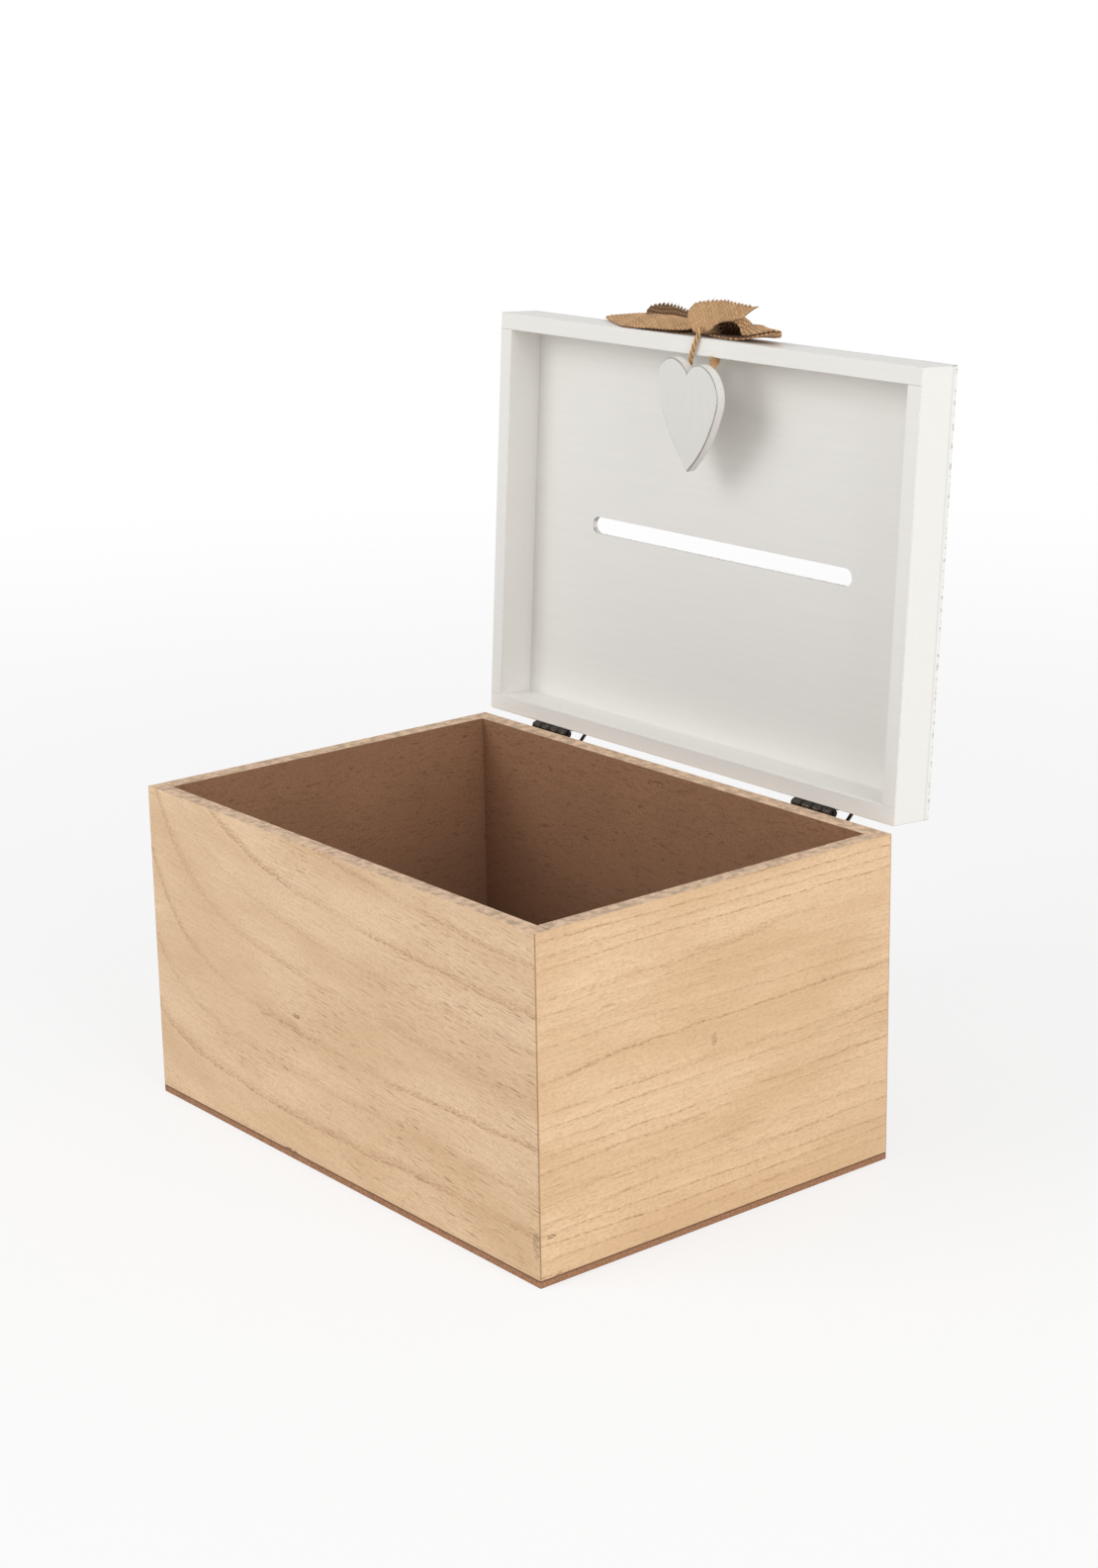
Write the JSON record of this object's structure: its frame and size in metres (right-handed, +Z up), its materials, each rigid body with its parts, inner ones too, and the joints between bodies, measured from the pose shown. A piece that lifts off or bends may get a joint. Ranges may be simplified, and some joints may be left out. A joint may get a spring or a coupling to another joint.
{
  "type": "wedding card box",
  "caption": "Veneered wooden box with a white hinged lid that has a card slot, a hessian bow on its front edge and a small heart tag hung from the bow on twine.",
  "frame": {"origin": "middle of the box's underside, on the surface it stands on", "axes": "+Z up, +X to the right along the long side, +Y to the back where the lid is hinged; the front faces -Y"},
  "size_m": [0.3, 0.2485, 0.3881],
  "materials": {
    "pale_wood_veneer": "unvarnished pale honey veneer with brown growth lines and short dark pores",
    "brown_fibreboard": "bare brown fibreboard, smooth faces and sawn edges",
    "white_painted_wood": "matt white paint rubbed back to grey along the edges",
    "dark_bronze_metal": "dark bronze lacquer on stamped steel",
    "hessian_ribbon": "coarse open plain weave with pinked ends",
    "jute_twine": "two-ply natural jute, slightly hairy"
  },
  "bodies": {
    "box": {"base_board": "brown_fibreboard", "front_wall": "brown_fibreboard", "back_wall": "brown_fibreboard", "left_wall": "brown_fibreboard", "right_wall": "brown_fibreboard", "front_veneer": "pale_wood_veneer", "back_veneer": "pale_wood_veneer", "left_veneer": "pale_wood_veneer", "right_veneer": "pale_wood_veneer", "left_hinge_box_leaf": "dark_bronze_metal", "right_hinge_box_leaf": "dark_bronze_metal", "left_hinge_pin": "dark_bronze_metal", "right_hinge_pin": "dark_bronze_metal", "box_hinge_screws": "dark_bronze_metal"},
    "lid": {"lid_front_wall": "white_painted_wood", "lid_back_wall": "white_painted_wood", "lid_left_wall": "white_painted_wood", "lid_right_wall": "white_painted_wood", "lid_top_panel": "white_painted_wood", "left_hinge_lid_leaf": "dark_bronze_metal", "right_hinge_lid_leaf": "dark_bronze_metal", "lid_hinge_screws": "dark_bronze_metal", "bow_knot": "hessian_ribbon", "bow_left_loop": "hessian_ribbon", "bow_right_loop": "hessian_ribbon", "bow_left_tail": "hessian_ribbon", "bow_right_tail": "hessian_ribbon"},
    "heart": {"heart_tag": "white_painted_wood", "heart_twine": "jute_twine"}
  },
  "joints": [
    {"name": "lid_hinge", "type": "hinge", "parent": "box", "child": "lid", "pos_m": [0, 0.10726, 0.16025], "axis": [-1, 0, 0], "range_deg": [-93.56, 0]},
    {"name": "heart_swing", "type": "hinge", "parent": "lid", "child": "heart", "pos_m": [0.0046, 0.12063, 0.37588], "axis": [-1, 0, 0], "range_deg": [0, 103]}
  ],
  "couplings": [
    {"joint": "heart_swing", "follows": "lid_hinge", "ratio": -1.1}
  ]
}
